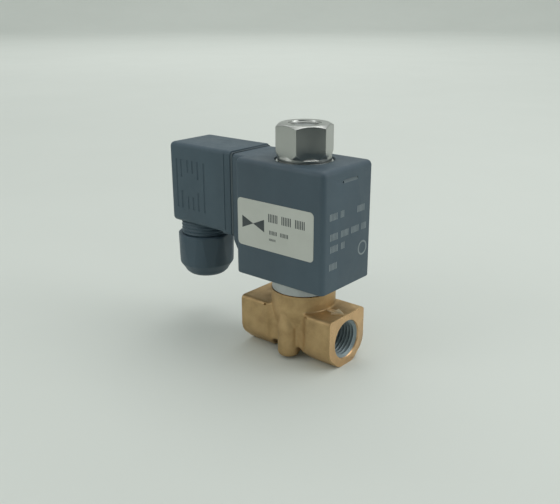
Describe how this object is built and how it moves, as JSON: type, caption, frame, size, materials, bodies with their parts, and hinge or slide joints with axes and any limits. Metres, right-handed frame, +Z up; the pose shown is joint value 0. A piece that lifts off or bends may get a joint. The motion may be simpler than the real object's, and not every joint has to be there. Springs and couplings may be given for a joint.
{
  "type": "solenoid valve",
  "caption": "Direct-acting two-way solenoid valve: forged brass body with threaded in-line ports, square coil held by a hex nut on the stem, and a plug-in cable connector with a gland.",
  "frame": {"origin": "on the underside of the body, under the stem, midway between the two ports", "axes": "+Z up the stem, +X out of the outlet port; the cable connector stands on the -X side of the coil"},
  "size_m": [0.079, 0.0277, 0.0826],
  "materials": {
    "body_brass": "satin forged brass, machined port faces",
    "stem_steel": "turned stainless steel",
    "nut_nickel": "satin nickel-plated steel",
    "coil_plastic": "fine-grained dark slate moulded plastic",
    "connector_plastic": "fine-grained dark slate moulded plastic",
    "gland_plastic": "smooth dark moulded plastic",
    "label_film": "matt pale grey film",
    "copper_wire": "enamelled copper",
    "natural_nylon": "natural nylon",
    "black_rubber": "matt black rubber",
    "zinc_steel": "zinc-plated steel",
    "spring_steel": "drawn spring steel",
    "contact_metal": "tinned brass"
  },
  "bodies": {
    "valve": {"valve_body": "body_brass", "tube_seal_ring": "black_rubber", "armature_tube": "stem_steel", "fixed_core": "stem_steel", "plunger_spring": "spring_steel"},
    "plunger": {"plunger": "stem_steel", "plunger_seal": "black_rubber"},
    "coil": {"coil_housing": "coil_plastic", "yoke_frame": "zinc_steel", "bobbin": "natural_nylon", "coil_winding": "copper_wire", "power_blades": "contact_metal", "earth_blade": "contact_metal", "screw_insert": "contact_metal", "nameplate": "label_film", "coil_washer": "zinc_steel"},
    "coil_nut": {"coil_nut": "nut_nickel"},
    "connector": {"connector_housing": "connector_plastic", "connector_gasket": "black_rubber", "terminal_block": "natural_nylon", "contact_sleeves": "contact_metal", "terminal_screws": "zinc_steel", "screw_seal": "black_rubber", "gland_washer": "natural_nylon", "gland_grommet": "black_rubber"},
    "connector_screw": {"connector_screw": "zinc_steel"},
    "gland_nut": {"gland_nut": "gland_plastic"}
  },
  "joints": [
    {"name": "plunger_lift", "type": "slide", "parent": "valve", "child": "plunger", "axis": [0, 0, 1], "range_m": [0, 0.002], "stiffness_N_per_m": 400, "springref_m": -0.004, "deforming": ["plunger_spring"]},
    {"name": "coil_swivel", "type": "hinge", "parent": "valve", "child": "coil", "pos_m": [0, 0, 0.05], "axis": [0, 0, 1], "continuous": true},
    {"name": "coil_nut_turn", "type": "hinge", "parent": "valve", "child": "coil_nut", "pos_m": [0, 0, 0.076], "axis": [0, 0, 1], "range_deg": [0, 3990]},
    {"name": "connector_pull", "type": "slide", "parent": "coil", "child": "connector", "axis": [-1, 0, 0], "range_m": [0, 0.03]},
    {"name": "connector_screw_turn", "type": "hinge", "parent": "connector", "child": "connector_screw", "pos_m": [-0.04, 0, 0.0563], "axis": [-1, 0, 0], "range_deg": [0, 3315]},
    {"name": "gland_nut_turn", "type": "hinge", "parent": "connector", "child": "gland_nut", "pos_m": [-0.0489, 0, 0.027], "axis": [0, 0, -1], "range_deg": [0, 2055]}
  ]
}
